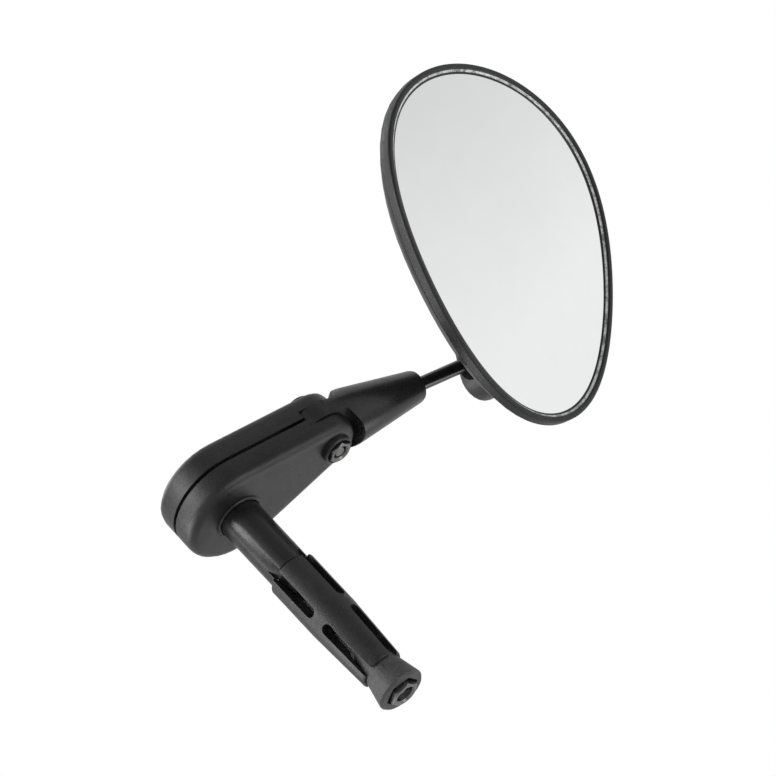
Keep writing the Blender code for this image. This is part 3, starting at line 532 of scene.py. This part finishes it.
def bolt_stations(start, end):
    """Places along the bolt, each with its kind and radius, from the key hole to the tip."""
    head_end = start + BOLT_HEAD_HEIGHT
    stations = [
        (start + KEY_DEPTH, "point", 0.0),
        (start + KEY_DEPTH, "key", KEY_HALF_FLATS),
        (start, "key", KEY_HALF_FLATS),
        (start, "round", BOLT_HEAD_RADIUS - 0.55),
        (start + BOLT_HEAD_EDGE, "round", BOLT_HEAD_RADIUS),
        (head_end, "round", BOLT_HEAD_RADIUS),
        (head_end, "round", THREAD_RADIUS),
    ]
    x = head_end + 0.4
    while x < end - 0.35:
        stations.append((x, "thread" if x > start + PLAIN_LENGTH else "round", THREAD_RADIUS))
        x += THREAD_PITCH / STEPS_PER_PITCH
    stations += [
        (end - 0.3, "round", THREAD_RADIUS - THREAD_DEPTH),
        (end, "round", THREAD_RADIUS - 0.9),
        (end, "point", 0.0),
    ]
    return stations


def bolt_ring(x, kind, radius, start, end):
    """Points round the bolt at x, as (x, y, z)."""
    if kind == "point":
        return [(x, 0.0, 0.0)]
    ring = []
    sixth = math.pi / 3
    for i in range(BOLT_SIDES):
        share = i / BOLT_SIDES
        angle = 2 * math.pi * share
        r = radius
        if kind == "key":
            r = radius / math.cos((angle + sixth / 2) % sixth - sixth / 2)
        if kind == "thread":
            thread_start = start + PLAIN_LENGTH
            fade = min(1.0, (x - thread_start) / THREAD_PITCH, (end - x) / 0.6 + 0.3)
            r -= THREAD_DEPTH * (1 - thread_height(x / THREAD_PITCH - share)) * fade
        ring.append((x, r * math.cos(angle), r * math.sin(angle)))
    return ring


def make_bolt():
    """M5 bolt with a rolled thread over the plug's length, and a plain shank by its head."""
    low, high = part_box("expander_bolt")
    start, end = low[0] / MM, high[0] / MM
    bm = bmesh.new()
    loops = [
        [bm.verts.new(Vector(point) * MM) for point in bolt_ring(x, kind, radius, start, end)]
        for x, kind, radius in bolt_stations(start, end)
    ]
    for first, second in zip(loops, loops[1:]):
        for i in range(BOLT_SIDES):
            k = (i + 1) % BOLT_SIDES
            if len(first) == 1:
                face = bm.faces.new((first[0], second[k], second[i]))
            elif len(second) == 1:
                face = bm.faces.new((first[i], first[k], second[0]))
            else:
                face = bm.faces.new((first[i], first[k], second[k], second[i]))
            face.smooth = True
    bmesh.ops.recalc_face_normals(bm, faces=bm.faces)
    mesh = bpy.data.meshes.new("expander_bolt_threaded")
    bm.to_mesh(mesh)
    bm.free()
    new_piece("expander_bolt_threaded", mesh, [BOLT_STEEL], "bolt", "expander_bolt")




# ---------------------------------------------------------------- studio


def axes_of(azimuth, elevation, roll):
    """Right, up and back of a camera, from its back direction's angles and its roll."""
    a, e, r = (math.radians(k) for k in (azimuth, elevation, roll))
    back = Vector((math.sin(a) * math.cos(e), -math.cos(a) * math.cos(e), math.sin(e)))
    level = Vector((math.cos(a), math.sin(a), 0.0))
    upward = back.cross(level)
    right = level * math.cos(r) + upward * math.sin(r)
    return right, back.cross(right), back


RIGHT, UP, BACK = axes_of(CAMERA_AZIMUTH, CAMERA_ELEVATION, CAMERA_ROLL)


def make_camera():
    data = bpy.data.cameras.new("camera")
    data.lens = CAMERA_LENS
    data.sensor_width = 36.0
    camera = bpy.data.objects.new("camera", data)
    bpy.context.scene.collection.objects.link(camera)
    turn = Matrix((RIGHT, UP, BACK)).transposed().to_4x4()
    camera.matrix_world = Matrix.Translation(Vector(CAMERA_LOCATION)) @ turn
    bpy.context.scene.camera = camera


def softbox(name, right, up, back, size, radiance):
    """A round light that faces the object from a direction in the camera's axes."""
    centre = Vector((0.0, 0.0, 0.05))
    distance = 1.2
    way = (RIGHT * right + UP * up + BACK * back).normalized()
    data = bpy.data.lights.new(name, "AREA")
    data.shape = "DISK"
    data.size = size
    data.energy = radiance * (math.pi * size / 2) ** 2
    lamp = bpy.data.objects.new(name, data)
    bpy.context.scene.collection.objects.link(lamp)
    turn = way.to_track_quat("Z", "Y").to_matrix().to_4x4()
    lamp.matrix_world = Matrix.Translation(centre + way * distance) @ turn
    lamp.visible_camera = False


def make_floor():
    """A wide pale floor with a gently uneven matt paint."""
    mesh = bpy.data.meshes.new("studio_floor")
    count = 96
    points = [(0.0, 0.0, FLOOR_HEIGHT)]
    faces = []
    rings = (0.5, 1.5, 3.0, 6.0, 12.0)
    for radius in rings:
        points += [
            (radius * math.cos(2 * math.pi * i / count), radius * math.sin(2 * math.pi * i / count),
             FLOOR_HEIGHT)
            for i in range(count)
        ]
    for i in range(count):
        k = (i + 1) % count
        faces.append((0, 1 + i, 1 + k))
        for ring in range(len(rings) - 1):
            low = 1 + ring * count
            high = low + count
            faces.append((low + i, high + i, high + k, low + k))
    mesh.from_pydata(points, [], faces)
    floor = bpy.data.objects.new("studio_floor", mesh)
    bpy.context.scene.collection.objects.link(floor)
    material, nodes, shader, coords = new_material("pale_floor")
    shade = nodes.noise(coords, 3.0, 3.0)
    nodes.link(nodes.mix_colour(shade, (0.90, 0.90, 0.90), (0.94, 0.94, 0.94)),
               shader.inputs["Base Color"])
    shader.inputs["Roughness"].default_value = 0.9
    shader.inputs["Specular IOR Level"].default_value = 0.1
    mesh.materials.append(material)


def make_world():
    """White all round to the camera; to the object, a white sweep with a dim camera side."""
    world = bpy.data.worlds.new("studio")
    bpy.context.scene.world = world
    world.use_nodes = True
    nodes = Nodes(world.node_tree)
    world.node_tree.nodes.clear()
    way = nodes.add("ShaderNodeTexCoord").outputs["Generated"]

    def along(direction):
        node = nodes.add("ShaderNodeVectorMath", operation="DOT_PRODUCT")
        nodes.link(way, node.inputs[0])
        node.inputs[1].default_value = direction
        return node.outputs["Value"]

    sweep = nodes.remap(along(BACK), -0.50, 0.12, 0.70, 0.32)
    lens_side = nodes.remap(along(BACK), 0.35, 0.80, 1.0, 0.60)
    camera_side = nodes.math("MULTIPLY", sweep, lens_side)
    zenith = nodes.remap(along(Vector((0, 0, 1))), 0.70, 0.84, 0.0, 1.0)
    slope = nodes.remap(along(UP), 0.42, 0.66, 0.90, 0.66)
    room = nodes.add("ShaderNodeMix", data_type="FLOAT")
    nodes.link(zenith, room.inputs["Factor"])
    nodes.link(camera_side, room.inputs[2])
    nodes.link(slope, room.inputs[3])
    seen = nodes.add("ShaderNodeLightPath").outputs["Is Camera Ray"]
    mixed = nodes.add("ShaderNodeMix", data_type="FLOAT")
    nodes.link(seen, mixed.inputs["Factor"])
    nodes.link(room.outputs[0], mixed.inputs[2])
    mixed.inputs[3].default_value = 1.0
    background = nodes.add("ShaderNodeBackground", {"Color": (1.0, 1.0, 1.0, 1.0)})
    nodes.link(mixed.outputs[0], background.inputs["Strength"])
    output = nodes.add("ShaderNodeOutputWorld")
    nodes.link(background.outputs[0], output.inputs["Surface"])


finish_nodes()
HEAD = head_matrix()
make_bezel(HEAD)
make_glass(HEAD)
make_bolt()
make_camera()
make_floor()
make_world()
softbox("left_softbox", -0.93, 0.12, 0.33, 0.60, 7.5)
softbox("lower_left_softbox", -0.80, -0.60, 0.10, 0.75, 5.0)
softbox("left_back_softbox", -0.75, 0.25, -0.65, 0.75, 2.6)
softbox("right_softbox", 0.75, 0.05, 0.65, 0.60, 4.2)
softbox("lower_right_softbox", 0.80, -0.55, 0.00, 0.75, 2.0)
bpy.context.scene.view_settings.view_transform = "Standard"
bpy.context.scene.view_settings.look = "None"

bpy.context.view_layer.update()
